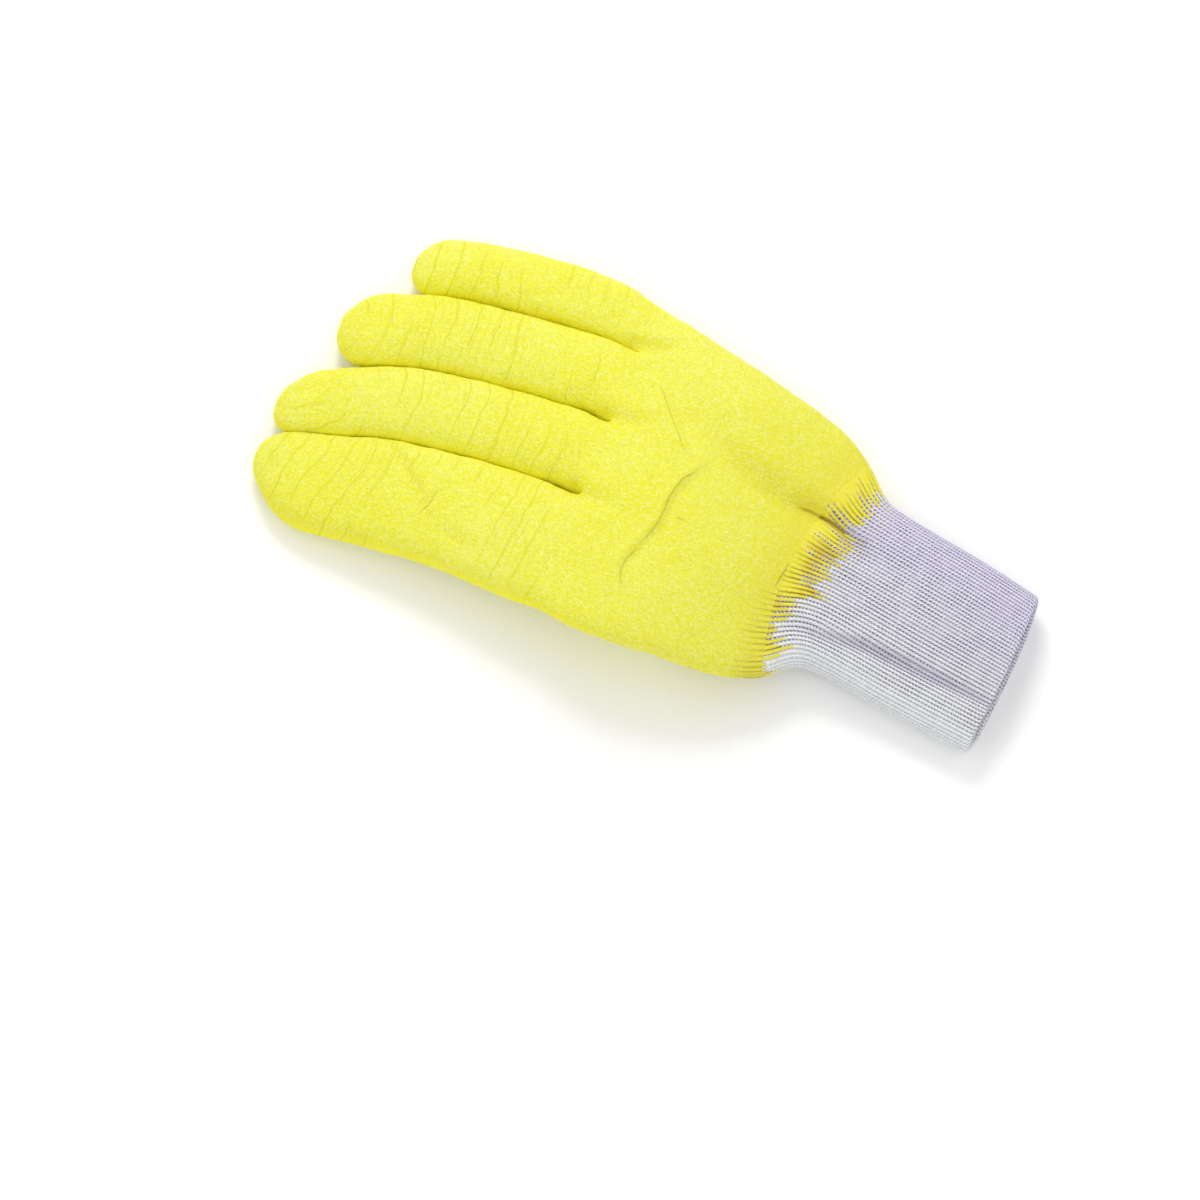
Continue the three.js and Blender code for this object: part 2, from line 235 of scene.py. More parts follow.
def smoothstep(low, high, value):
    """A value eased from 0 at the one bound to 1 at the other."""
    t = min(max((value - low) / (high - low), 0.0), 1.0)
    return t * t * (3 - 2 * t)


# %% [markdown]
# The glove wasn't made flat: it keeps the creases of the hand that it was formed on. Each fold is a short
# line on the palm with a size and a width, pressed into the finished surface much as a sculptor would.

# %% Folds
# Each row: kind, size in mm, width in mm, which ends fade, and the line's points.
# A groove sinks. A step is high on the side towards the fingers and low on the other. A mound rises.
FOLDS = [
    ("groove", 2.2, 3.0, "end", [(-18, 45.2), (-8, 47.4), (5, 52.5)]),
    ("groove", 2.0, 3.0, "end", [(-18, 17.0), (-8, 17.8), (6, 21)]),
    ("groove", 1.8, 3.0, "end", [(-20, -12.3), (-8, -14.4), (8, -19)]),
    ("groove", 3.0, 5.5, "both", [(8, 26), (20, 22), (28, 17), (36, 12), (46, 9), (57, 8), (66, 6), (78, 1)]),
    ("groove", 2.4, 1.8, "both", [(40, 9.5), (49.6, 7.8), (56.8, 8.1), (63.5, 7.1), (68.7, 5.1), (77, 2)]),
    ("step", 1.3, 3.0, "both", [(-5, 33), (-1.4, 28.6), (4.6, 20.5), (9.1, 14.5), (14.9, 7.9)]),
    ("step", 3.2, 4.6, "both", [(18.4, 7.2), (16.8, 4.4), (13.8, -1), (12.3, -9), (11.7, -17), (8.5, -25),
                                (4.6, -34), (6.5, -41)]),
    ("mound", 2.0, 17.0, "both", [(26, -12), (42, -20), (54, -26)]),
    ("mound", 1.4, 13.0, "both", [(8, 40), (28, 34), (46, 27)]),
    ("mound", 1.0, 12.0, "both", [(-14, 8), (-4, -2), (-6, -30)]),
    ("mound", 0.9, 4.0, "both", [(13, 27), (26, 21), (36, 16.5)]),
    ("groove", 0.9, 1.8, "both", [(-92, -8), (-82.9, -13.3), (-75.9, -20.3), (-67.7, -28.7), (-61.6, -36)]),
    ("groove", 0.7, 1.8, "both", [(-65.4, -30.2), (-61.3, -26.9), (-58.4, -22.9)]),
    ("groove", 0.8, 2.0, "both", [(-61.6, -36), (-53, -40.5), (-43, -44)]),
    ("groove", 0.6, 1.8, "both", [(-25.5, 22.9), (-20.4, 15.3), (-19.7, 8)]),
    ("groove", 2.6, 2.6, "both", [(64, -33.5), (87.8, -30.8), (109.6, -32.8), (146, -37.6)]),
]


STEP_FLANK = 1.2  # a step goes from its middle to its full height over this many mm


def nearest_on_line(points, x, y):
    """Distance to a line, the side (1 towards the fingers) and the share of the line passed there."""
    best = (1e9, 1, 0.0)
    here = Vector((x, y))
    for i in range(len(points) - 1):
        start, along = Vector(points[i]), Vector(points[i + 1]) - Vector(points[i])
        t = min(max((here - start).dot(along) / along.length_squared, 0.0), 1.0)
        offset = here - (start + along * t)
        if offset.length < best[0]:
            side = 1 if along.x * offset.y - along.y * offset.x < 0 else -1
            best = (offset.length, side, (i + t) / (len(points) - 1))
    return best


def fold_relief(folds, x, y):
    """Height that folds add to a face at x and y, in mm."""
    height = 0.0
    for kind, size, width, fade, points in folds:
        reach, side, share = nearest_on_line(points, x, y)
        if reach > 3 * width:
            continue
        ends = math.sin(math.pi * (0.06 + 0.88 * share)) ** 0.7
        if fade == "end":
            ends = 1 - smoothstep(0.35, 1, share)
        strength = size * ends * math.exp(-((reach / width) ** 2))
        if kind == "groove":
            height -= strength
        elif kind == "mound":
            height += strength
        else:
            height += side * min(1.0, reach / STEP_FLANK) * strength / 2
    return height


print(len(FOLDS), "folds; the valley is", round(-fold_relief(FOLDS, 50, 10), 1), "mm deep near the wrist")

# %% [markdown]
# Some folds end in a crease that is as thin as a pencil line. A line that fine would need a very dense mesh.
# So each point of the mesh only stores how many widths it lies to one side of a crease or the other, and the
# material draws the crease as a thin dark line of painted shade where that number passes through nought.

# %% Creases
# Each row: the name of its stored numbers, half width in mm, how dark its painted shade is, and the line's
# points.
CREASES = [
    ("crease_below_ring_finger", 0.22, 0.4, [(-5, 33), (-1.4, 28.6), (4.6, 20.5), (9.1, 14.5), (12.9, 9.5)]),
    ("crease_round_thumb_ball", 0.26, 0.5, [(19, 8.4), (16.8, 4.4), (14.1, 0.9), (13.2, -2.4), (12.2, -6.9),
                                            (12.3, -11), (11.9, -16), (10.7, -20.4), (8.5, -26.4)]),
    ("crease_into_thumb_ball", 0.3, 0.45, [(8.7, -26.4), (6.4, -31.5), (5.6, -34.6), (5.6, -38.2), (8, -43)]),
    ("crease_in_valley", 0.55, 1.0, [(52, 7.8), (56.8, 8.1), (63.5, 7.1), (68.7, 5.1), (71, 4)]),
    ("crease_along_seam", 0.25, 0.7, [(59.8, -3), (58.7, -7.6), (57, -13), (55.5, -19.8), (55, -24)]),
    ("crease_under_forefinger", 0.28, 0.45, [(-62.4, -26), (-63.2, -31.5), (-66.2, -37)]),
    ("smudge_on_thumb_ball", 0.35, 0.5, [(16.5, -13), (20, -13)]),
]
FAR_WIDTHS = 12.0
FAR_AWAY = Vector((FAR_WIDTHS, 0.0, 0.0))


def crease_place(point, width, points):
    """How many widths a place lies to either side of a crease, and how strong the crease is abreast of it."""
    margin = FAR_WIDTHS * width
    xs, ys = zip(*points)
    if not (min(xs) - margin < point.x < max(xs) + margin and min(ys) - margin < point.y < max(ys) + margin):
        return FAR_AWAY
    reach, side, share = nearest_on_line(points, point.x, point.y)
    widths = min(reach / width, FAR_WIDTHS)
    strength = smoothstep(0.0, 0.15, share) * smoothstep(1.0, 0.85, share)
    strength *= smoothstep(FAR_WIDTHS, FAR_WIDTHS / 2, widths)
    return Vector((side * widths, strength, 0.0))


def store_creases(bm, from_x=-math.inf):
    """Store the creases that reach past an x with the points of a mesh that face up."""
    bm.normal_update()
    for name, width, _, points in CREASES:
        if max(x for x, y in points) < from_x:
            continue
        layer = bm.verts.layers.float_vector.new(name)
        for vert in bm.verts:
            vert[layer] = crease_place(vert.co, width, points) if vert.normal.z > 0.1 else FAR_AWAY


print(len(CREASES), "creases")

# %% [markdown]
# Every tube here starts as one ring of edges and is extruded ring by ring, each new ring moved to its place.
# That is how a loft is made by hand in the editor: select the open edge, extrude it, and scale it.

# %% Rings and extrusion
def first_ring(bm, places):
    """A closed ring of edges through the places."""
    ring = bmesh.ops.create_circle(bm, cap_ends=False, segments=len(places), radius=1.0)["verts"]
    for vert, place in zip(ring, places):
        vert.co = place
    return ring


def extruded_ring(bm, ring, places):
    """Extrude a ring of edges once and move the new ring to the places."""
    edges = [bm.edges.get((a, b)) for a, b in zip(ring, ring[1:] + ring[:1])]
    made = bmesh.ops.extrude_edge_only(bm, edges=edges)["geom"]
    fresh = {item for item in made if isinstance(item, bmesh.types.BMVert)}
    following = []
    for vert, place in zip(ring, places):
        twin = next(edge.other_vert(vert) for edge in vert.link_edges if edge.other_vert(vert) in fresh)
        twin.co = place
        following.append(twin)
    return following


# %% [markdown]
# The wrist is a tube of rib knit: ridges of stitches that run the length of the cuff, with a valley between
# each two. The tube goes out along its outside, rolls over at the hem and comes back inside, because the
# real cuff is folded double there. Its ribs are spaced evenly round the outline.

# %% Rib spacing
RIBS_AROUND = 100
POINTS_PER_RIB = 5
RIB_DEPTH = 0.5
KNIT_WALL = 2.4
SEAM_X = 65.0
HEM_X = 135.0
COLUMNS = RIBS_AROUND * POINTS_PER_RIB


def even_angles(section, count):
    """Angles at which equal lengths of a section's outline begin."""
    fine = 16 * count
    places = [section_point(section, math.tau * i / fine, HAND_SQUARENESS) for i in range(fine + 1)]
    reached = [0.0]
    for a, b in zip(places, places[1:]):
        reached.append(reached[-1] + (b - a).length)
    angles, j = [], 0
    for i in range(count):
        while reached[j] < reached[-1] * i / count:
            j += 1
        angles.append(math.tau * j / fine)
    return angles


CUFF_MIDDLE_X = 108.0
cuff_section = read_table(BODY, BODY_COLUMNS, CUFF_MIDDLE_X)
RIB_ANGLES = even_angles(cuff_section, COLUMNS)
cuff_places = [section_point(cuff_section, angle, HAND_SQUARENESS) for angle in RIB_ANGLES]
cuff_girth = sum((b - a).length for a, b in zip(cuff_places, cuff_places[1:] + cuff_places[:1]))
print("the cuff is", round(cuff_girth), "mm round, so a rib is", round(cuff_girth / RIBS_AROUND, 2), "mm")

# %% [markdown]
# When the glove is dipped, the coat creeps along the crests of the ribs and stops at a ragged line. It fills
# the valleys at first. They open some way before the coat ends, sooner on the forefinger's side than on the
# little finger's, and they are free of it sooner than the crests.

# %% Where the coat ends
DIP_X = 76.5
FOREFINGER_LEAN = 7.5  # towards either edge of the wrist the coat stops sooner than in its middle
LITTLE_FINGER_LEAN = 2.5
FOREFINGER_OPENING = 15.0  # over this many mm the valleys open
LITTLE_FINGER_OPENING = 9.0


def crest_reach(rib):
    """Where the coat stops on the crest of a rib, in mm along the glove."""
    across = math.cos(RIB_ANGLES[rib * POINTS_PER_RIB])
    lean = FOREFINGER_LEAN * smoothstep(0.0, 0.55, -across)
    lean += LITTLE_FINGER_LEAN * smoothstep(0.3, 1.0, across)
    creep = 4.0 * noise.noise(Vector((rib * 0.83, 1.7, 0.0)))
    creep += 4.0 * noise.noise(Vector((rib * 0.33, 9.1, 0.0)))
    return DIP_X - lean + creep


def dip_reach(column):
    """Where the coat stops on one column of faces."""
    rib, phase = divmod(column, POINTS_PER_RIB)
    in_valley = phase in (0, POINTS_PER_RIB - 1)
    held_back = 1.0 + 9.0 * abs(noise.noise(Vector((rib * 1.37, 5.3, 0.0)))) if in_valley else 0.0
    return crest_reach(rib) - held_back


def opened(column, x):
    """How far the valley next to a rib has opened at x, from 0 to 1."""
    end = crest_reach(column // POINTS_PER_RIB)
    shorter = smoothstep(-0.3, 0.6, math.cos(RIB_ANGLES[column]))
    length = FOREFINGER_OPENING + (LITTLE_FINGER_OPENING - FOREFINGER_OPENING) * shorter
    return smoothstep(end - length, end - 3.0, x)


print("the coat ends between", round(min(dip_reach(i) for i in range(COLUMNS)), 1), "and",
      round(max(dip_reach(i) for i in range(COLUMNS)), 1), "mm")

# %% Ribbed wrist, from under the coat to the hem and back inside
ROW_PITCH = 1.0
# The first rings lie under the rim of the coat. Each has its x and how far it is sunk.
TUCKED = [(SEAM_X - 3, 0.85), (SEAM_X - 2, 0.5), (SEAM_X - 1, 0.25)]
# At the hem each ring has how far back from the very end it lies, and how far in.
HEM_ROLL = [(1.1, 0.0), (0.35, 0.35), (0.0, KNIT_WALL / 2), (0.35, 2.05), (1.1, KNIT_WALL)]
# A rib is broad and round with a narrow valley. The numbers are how far each of its points is sunk.
RIB_PROFILE = [1.0, 0.3, 0.0, 0.0, 0.3]


def facing_up(angle):
    """How much of a fold a section takes at an angle: all of it on top, and nothing below."""
    return min(max(1.6 * math.sin(angle), 0.0), 1.0)


def rib_ring(x, inset):
    """Places of one ring of ribs at x. Neighbouring ribs differ a little, as knitting does."""
    section = read_table(BODY, BODY_COLUMNS, x)
    is_outside = inset < 1
    past_seam = smoothstep(SEAM_X - 0.5, SEAM_X + 3, x)
    places = []
    for i, angle in enumerate(RIB_ANGLES):
        rib, phase = divmod(i, POINTS_PER_RIB)
        uneven = noise.noise(Vector((rib * 0.71, x * 0.09, 3.0))) * past_seam
        depth = RIB_DEPTH * opened(i, x) * past_seam if is_outside else 0.25
        sunk = inset + depth * RIB_PROFILE[phase] * (1 + 0.5 * uneven) - 0.12 * uneven * is_outside
        point = section_point(thinned(section, sunk), angle, HAND_SQUARENESS, max(sunk, 0.0))
        point.z += fold_relief(FOLDS, point.x, point.y) * facing_up(angle)
        places.append(point)
    return places


rows = TUCKED + [(SEAM_X + ROW_PITCH * i, 0.0) for i in range(int((HEM_X - SEAM_X - 1) / ROW_PITCH))]
inside_rows = [(x, KNIT_WALL) for x, inset in reversed(rows)]
wrist = bmesh.new()
column_layer = wrist.verts.layers.int.new("column")
length_layer = wrist.verts.layers.float.new("length")
rib_map = wrist.loops.layers.uv.new("ribs")
path = rows + [(HEM_X - back, inset) for back, inset in HEM_ROLL] + inside_rows
grid = []
for x, inset in path:
    places = rib_ring(x, inset)
    ring = extruded_ring(wrist, ring, places) if grid else first_ring(wrist, places)
    grid.append(ring)
bmesh.ops.recalc_face_normals(wrist, faces=wrist.faces)
print("the wrist has", len(path), "rings of", COLUMNS, "points")

# %% [markdown]
# A knit pattern has to follow the ribs, so the wrist gets a UV map: u counts ribs and v counts millimetres
# along them. The last column of faces joins the first again, and there u runs on instead of jumping back.

# %% UV map of the ribs
for ring, (x, inset) in zip(grid, path):
    for i, vert in enumerate(ring):
        vert[column_layer] = i
        vert[length_layer] = x if inset < KNIT_WALL / 2 else 2 * HEM_X - x
for face in wrist.faces:
    columns = [loop.vert[column_layer] for loop in face.loops]
    for loop, column in zip(face.loops, columns):
        onward = COLUMNS if max(columns) - column > COLUMNS / 2 else 0
        loop[rib_map].uv = ((column + onward) / POINTS_PER_RIB, loop.vert[length_layer])

# %% [markdown]
# The faces of the one tube are shared out between two pieces at the coat's end, column by column, so the line
# is as ragged as the real one and the two pieces meet exactly.

# %% Split the wrist at the ragged line of the dip
def face_column(face):
    columns = [loop.vert[column_layer] for loop in face.loops]
    return COLUMNS - 1 if max(columns) - min(columns) > COLUMNS / 2 else min(columns)


def face_x(face):
    lengths = [loop.vert[length_layer] for loop in face.loops]
    length = sum(lengths) / len(lengths)
    return length if length < HEM_X else 2 * HEM_X - length


def store_places(bm):
    """Store with each point of the wrist where it lies, for the materials."""
    names = ("to_end", "opened", "across", "depth")
    layers = {name: bm.verts.layers.float.new(name) for name in names}
    column_layer = bm.verts.layers.int["column"]
    length_layer = bm.verts.layers.float["length"]
    for vert in bm.verts:
        column = vert[column_layer]
        x = min(vert[length_layer], 2 * HEM_X - vert[length_layer])
        angle = RIB_ANGLES[column]
        vert[layers["to_end"]] = crest_reach(column // POINTS_PER_RIB) - x
        vert[layers["opened"]] = opened(column, x)
        vert[layers["across"]] = math.cos(angle)
        vert[layers["depth"]] = fold_relief(FOLDS, vert.co.x, vert.co.y) * facing_up(angle)


store_places(wrist)
store_creases(wrist, SEAM_X)


def share_of_wrist(name, keep):
    """A piece made of the wrist's faces that pass a test."""
    part = wrist.copy()
    drop = [face for face, kept in zip(part.faces, [keep(face) for face in wrist.faces]) if not kept]
    bmesh.ops.delete(part, geom=drop, context="FACES")
    to_frame(part)
    return new_piece(name, part)


wrist.faces.ensure_lookup_table()
dips = [dip_reach(column) for column in range(COLUMNS)]
band = share_of_wrist("soaked_ribs", lambda face: face_x(face) < dips[face_column(face)])
cuff = share_of_wrist("cotton_cuff", lambda face: face_x(face) >= dips[face_column(face)])
wrist.free()

# %% [markdown]
# The coated hand is one smooth skin with five openings grown from it, which suits a subdivision surface: a
# coarse cage of four-sided faces that the modifier rounds off. The palm's ring has two edges on top and two
# below for every finger, so each finger can be extruded from its own part of the ring.

# %% Cage of the palm
PALM_STATIONS = [65, 61, 55, 47, 38, 29, 20, 11, 2, -7, -15]
# Where the points of the palm's ring lie across its width: a finger's line, its middle, the next line.
TOP_SHARES = [0.955, 0.83, 0.66, 0.43, 0.19, -0.05, -0.285, -0.62, -0.93]


def share_angle(share):
    """The angle at which a section's point lies at a share of its half width."""
    quarter = math.acos(abs(share) ** (HAND_SQUARENESS / 2))
    return quarter if share > 0 else math.pi - quarter


top_angles = [share_angle(share) for share in TOP_SHARES]
palm_angles = [0.0] + top_angles + [math.pi] + [math.tau - angle for angle in reversed(top_angles)]
COAT_STEP = 0.05  # the coat stands this far proud of the ribs at the seam


def palm_ring(x):
    section = read_table(BODY, BODY_COLUMNS, x)
    swell = COAT_STEP * smoothstep(35, 65, x)
    return [section_point(thinned(section, -swell), angle, HAND_SQUARENESS) for angle in palm_angles]


hand = bmesh.new()
ring = first_ring(hand, palm_ring(PALM_STATIONS[0]))
palm_rings = [ring]
for x in PALM_STATIONS[1:]:
    ring = extruded_ring(hand, ring, palm_ring(x))
    palm_rings.append(ring)
print("the palm's cage has", len(PALM_STATIONS), "rings of", len(ring), "points")

# %% [markdown]
# Between two fingers the palm's top and bottom meet in a web. Three short uprights divide the palm's open
# end into four loops of eight edges, and each loop is extruded along its finger and closed at the tip.

# %% Cage of the fingers
top, bottom = ring[1:10], ring[11:20][::-1]
sides = [ring[0]]
for k in (2, 4, 6):
    web = hand.verts.new((top[k].co + bottom[k].co) / 2)
    hand.edges.new((top[k], web))
    hand.edges.new((web, bottom[k]))
    sides.append(web)
sides.append(ring[10])
EIGHTHS = [math.tau * i / 8 for i in range(8)]
FINGER_STEP = 9.0
FINGER_SWELL = 0.15  # the coat of one finger lies against the next


def finger_stations(tip_length, rows, start):
    """Sections from the palm to the tip: even steps, then a dome."""
    dome = rows[-1][0] + tip_length
    steps = max(2, round((start - dome) / FINGER_STEP))
    straight = [start + (dome - start) * i / steps for i in range(steps + 1)]
    stations = [(x, 1.0) for x in straight]
    for degrees in (28, 52, 72):
        x = dome - tip_length * math.sin(math.radians(degrees))
        stations.append((x, math.cos(math.radians(degrees))))
    return stations


for k, (tip_length, rows) in enumerate(FINGERS.values()):
    loop = [sides[k], top[2 * k], top[2 * k + 1], top[2 * k + 2],
            sides[k + 1], bottom[2 * k + 2], bottom[2 * k + 1], bottom[2 * k]]
    for x, scale in finger_stations(tip_length, rows, -24.0):
        section = shrunk(thinned(read_table(rows, FINGER_COLUMNS, x), -FINGER_SWELL), scale)
        places = [section_point(section, angle, FINGER_SQUARENESS) for angle in EIGHTHS]
        loop = extruded_ring(hand, loop, places)
    hand.faces.new(loop)
print("the cage now has", len(hand.faces), "faces")

# %% [markdown]
# The thumb is tucked beneath the palm, where the photograph hides it. It grows from four faces of the palm's
# underside: the block of faces is extruded, turned towards the fingers and laid on the floor.

# %% Cage of the thumb
# Each row: x, y and z of the middle, half width, half thickness, and how far it points down, in degrees.
THUMB = [
    (25.0, -34.5, 9.4, 14.6, 6.4, 48),
    (14.5, -33.6, 6.1, 14.2, 5.7, 20),
    (3.5, -31.2, 5.2, 13.8, 5.3, 5),
    (-8.5, -27.8, 4.9, 13.3, 5.0, 0),
    (-20.0, -24.6, 4.7, 12.8, 4.8, 0),
    (-31.0, -21.6, 4.4, 12.0, 4.6, 0),
    (-39.5, -19.6, 4.1, 10.6, 4.2, 0),
    (-45.5, -18.3, 3.9, 8.0, 3.4, 0),
    (-49.0, -17.6, 3.8, 4.4, 2.0, 0),
]
BESIDE_MIDDLE = [(i, j) for i in range(3) for j in range(3) if (i, j) != (1, 1)]


def extruded_patch(bm, faces, patch):
    """Extrude four faces round one point. Return the new faces and their 3 by 3 points."""
    region = set(faces)
    for face in faces:
        region.update(face.edges, face.verts)
    made = bmesh.ops.extrude_face_region(bm, geom=list(region))["geom"]
    fresh = {item for item in made if isinstance(item, bmesh.types.BMVert)}
    following = [[None] * 3 for _ in patch]
    for i, j in BESIDE_MIDDLE:
        vert = patch[i][j]
        across_edges = (edge.other_vert(vert) for edge in vert.link_edges)
        following[i][j] = next(other for other in across_edges if other in fresh)
    following[1][1] = fresh.difference(vert for row in following for vert in row).pop()
    return [item for item in made if isinstance(item, bmesh.types.BMFace)], following


# The underside of a palm ring runs back from the forefinger's edge: its points 11, 12 and 13.
patch = [[palm_rings[PALM_STATIONS.index(x)][i] for i in (11, 12, 13)] for x in (38, 29, 20)]
around = {vert for row in patch for vert in row}
faces = [face for face in hand.faces if around.issuperset(face.verts)]
for x, y, z, half_width, half_thick, down in THUMB:
    faces, patch = extruded_patch(hand, faces, patch)
    slope = Matrix.Rotation(math.radians(-down), 3, "Y")
    for i, row in enumerate(patch):
        for j, vert in enumerate(row):
            corner = 0.8 if i != 1 and j != 1 else 1.0
            offset = slope @ Vector((0.0, (j - 1) * half_width * corner, (i - 1) * half_thick * corner))
            vert.co = Vector((x, y, z)) + offset
            vert.co.z = max(vert.co.z, 0.0)
print("with its thumb the cage has", len(hand.faces), "faces")

# %% [markdown]
# A subdivision surface cuts inside the corners of its cage. So the cage is pushed outward, a little at a
# time, until the smooth skin passes through the very points that the tables gave.

# %% Fit the cage and smooth it
SKIN_LEVELS = 3


def smoothed(bm, levels):
    """The cage after subdivision, as a new mesh. The cage's own points come first in it."""
    mesh = bpy.data.meshes.new("cage")
    bm.to_mesh(mesh)
    holder = bpy.data.objects.new("cage", mesh)
    bpy.context.scene.collection.objects.link(holder)
    modifier = holder.modifiers.new("smooth", "SUBSURF")
    modifier.levels = modifier.render_levels = levels
    result = bpy.data.meshes.new_from_object(holder.evaluated_get(bpy.context.evaluated_depsgraph_get()))
    bpy.data.objects.remove(holder)
    bpy.data.meshes.remove(mesh)
    return result


bmesh.ops.recalc_face_normals(hand, faces=hand.faces)
hand.verts.index_update()
wanted = [vert.co.copy() for vert in hand.verts]
for attempt in range(4):
    skin = smoothed(hand, 2)
    misses = [target - point.co for target, point in zip(wanted, skin.vertices)]
    for vert, miss in zip(hand.verts, misses):
        vert.co += 0.8 * miss
    bpy.data.meshes.remove(skin)
    print("try", attempt, "missed by", round(max(miss.length for miss in misses), 2), "mm at most")
skin = smoothed(hand, SKIN_LEVELS)
hand.free()
coat = bmesh.new()
coat.from_mesh(skin)
bpy.data.meshes.remove(skin)
print("the skin has", len(coat.faces), "faces")

# %% [markdown]
# Now the folds are pressed in, and the whole skin gets the slight waviness of a knitted glove that has been
# coated and then lain in a box. How deep each spot lies is kept with it, for the painted shade in the
# hollows.

# %% Unevenness and cracks
def wobble(point, scale, seed):
    """Soft unevenness at a place, from -1 to 1, with bumps about 1 / scale mm apart."""
    return noise.noise(point * scale + Vector((seed, seed, seed)))


# The cracks across a finger are arcs. Here is the point, as x and y, that the arcs of each finger lie round.
ARC_CENTRES = {"little": (-130, 53), "ring": (-124, 25), "middle": (-119, 0), "index": (-330, 20)}
FINGERS_END = -22.0  # beyond about this x the skin is palm, and its cracks fade out


def off_finger(name, point):
    """How far a place lies from the middle of a finger, in half widths of the finger."""
    section = read_table(FINGERS[name][1], FINGER_COLUMNS, point.x)
    return abs(point.y - section["y"]) / section["half_width"]


def arc_distance(point):
    """Distance in mm from the point that the cracks of the nearest finger lie round, a little uneven."""
    x, y = ARC_CENTRES[min(FINGERS, key=lambda name: off_finger(name, point))]
    uneven = 2.4 * wobble(point, 0.06, 4.0) + 0.9 * wobble(point, 0.25, 8.0)
    return math.hypot(point.x - x, point.y - y) + uneven


# %% Places on the exact outline near the seam
def section_place(point):
    """The section of the palm or wrist that a place lies in, and how far across and up from its middle."""
    x = point.x
    for _ in range(4):
        section = read_table(BODY, BODY_COLUMNS, x)
        offset = point - Vector((x, section["y"], section["low"] + section["thick"] / 2))
        offset.rotate(Matrix.Rotation(math.radians(-section["heading"]), 3, "Z"))
        offset.rotate(Matrix.Rotation(math.radians(section["roll"]), 3, "X"))
        bowed = -section["bow"] * (1 - (offset.y / section["full_width"]) ** 2)
        x += offset.x - bowed
    return section, offset.y, offset.z


def seam_place(point):
    """Distance in mm to the seam with the wrist, the angle there, and the place on the exact outline."""
    section, across, up = section_place(point)
    section = thinned(section, -COAT_STEP)
    across_share, up_share = across / section["half_width"], up / (section["thick"] / 2)
    size = (abs(across_share) ** HAND_SQUARENESS + abs(up_share) ** HAND_SQUARENESS) ** (1 / HAND_SQUARENESS)
    turns = [signed_power(share, HAND_SQUARENESS / 2) for share in (up_share, across_share)]
    angle = math.atan2(*turns)
    return SEAM_X - section["x"], angle, placed(section, across / size, up / size)


def rib_count(angle):
    """Which rib continues the skin at an angle. The count runs on from below zero past the -Z side."""
    column = bisect.bisect(RIB_ANGLES, angle % math.tau)
    return (column - COLUMNS if angle < 0 and column > COLUMNS / 2 else column) / POINTS_PER_RIB


# %% Press the folds into the skin
NEAR_SEAM = 16.0  # within this many mm of the seam the skin is drawn to the ribs' outline
SEAM_BOW = 12.0  # the seam is curved, so the search for it starts this much sooner
layer_names = ("depth", "arc", "rib", "opened", "to_seam", "on_finger", "painted_bounce_light", "hatched")
layers = {name: coat.verts.layers.float.new(name) for name in layer_names}
# Fine cracks lie close together along one fold of the forefinger.
HATCHED_FOLD = [(-84, -12), (-75.9, -20.3), (-67.7, -28.7), (-60, -37)]
HATCHED_WIDTH = 4.0
coat.normal_update()
moves = []
for vert in coat.verts:
    top = smoothstep(0.05, 0.6, vert.normal.z)
    to_seam, pull = NEAR_SEAM, 0.0
    if vert.co.x > SEAM_X - NEAR_SEAM - SEAM_BOW:
        to_seam, angle, outline_place = seam_place(vert.co)
        pull = smoothstep(NEAR_SEAM, 2.0, to_seam)
        vert.co = vert.co.lerp(outline_place, pull)
        top += (facing_up(angle) - top) * pull
        vert[layers["rib"]] = rib_count(angle)
        vert[layers["opened"]] = opened(int(rib_count(angle) * POINTS_PER_RIB) % COLUMNS, SEAM_X - to_seam)
    fold = fold_relief(FOLDS, vert.co.x, vert.co.y) * top
    rests = vert.co.z < 0.6 and vert.normal.z < 0  # what lies on the floor stays flat
    wavy = 0.3 * wobble(vert.co, 0.12, 1.0) + 0.2 * wobble(vert.co, 0.33, 2.0)
    hatched_reach = nearest_on_line(HATCHED_FOLD, vert.co.x, vert.co.y)[0]
    vert[layers["depth"]] = fold
    vert[layers["arc"]] = arc_distance(vert.co)
    vert[layers["to_seam"]] = to_seam
    vert[layers["on_finger"]] = smoothstep(FINGERS_END + 14, FINGERS_END - 8, vert.co.x)
    # Painted bounce light: the sides of the fingers are marked here, and the material paints them a brighter,
    # fuller yellow.
    vert[layers["painted_bounce_light"]] = smoothstep(8, -10, vert.co.x) * smoothstep(0.85, 0.35, abs(vert.normal.z))
    vert[layers["hatched"]] = smoothstep(HATCHED_WIDTH, 0.8, hatched_reach) * top
    moves.append(Vector((0.0, 0.0, fold)) + vert.normal * (0.0 if rests else wavy * (1 - pull)))
store_creases(coat)
for vert, move in zip(coat.verts, moves):
    vert.co += move
    vert.co.z = max(vert.co.z, 0.0)
print("the deepest fold sinks", round(-min(vert[layers["depth"]] for vert in coat.verts), 2), "mm")

# %% [markdown]
# The coat and its knitted liner are one wall. Solidify gives it its thickness. It is thinner at the wrist, as
# the coat runs out over the ribs there and leaves hardly a step.

# %% Coated hand as a hollow shell
COAT_WALL = 1.8
RIM_WALL = 0.06
RIM_LENGTH = 9.0


seam_distances = [vert[layers["to_seam"]] for vert in coat.verts]
for edge in coat.edges:  # a sharp rim, so that its shading isn't blended round the edge
    edge.smooth = not edge.is_boundary
to_frame(coat)
coated = new_piece("coated_hand_skin", coat)
wall_group = coated.vertex_groups.new(name="wall")
for index, away_from_seam in enumerate(seam_distances):
    wall_group.add([index], smoothstep(0.0, RIM_LENGTH, away_from_seam), "REPLACE")
shell = coated.modifiers.new("wall", "SOLIDIFY")
shell.thickness = COAT_WALL * MM
shell.offset = -1.0
shell.vertex_group = wall_group.name
shell.thickness_vertex_group = RIM_WALL / COAT_WALL
print("wall", COAT_WALL, "mm, and", RIM_WALL, "mm at the rim")

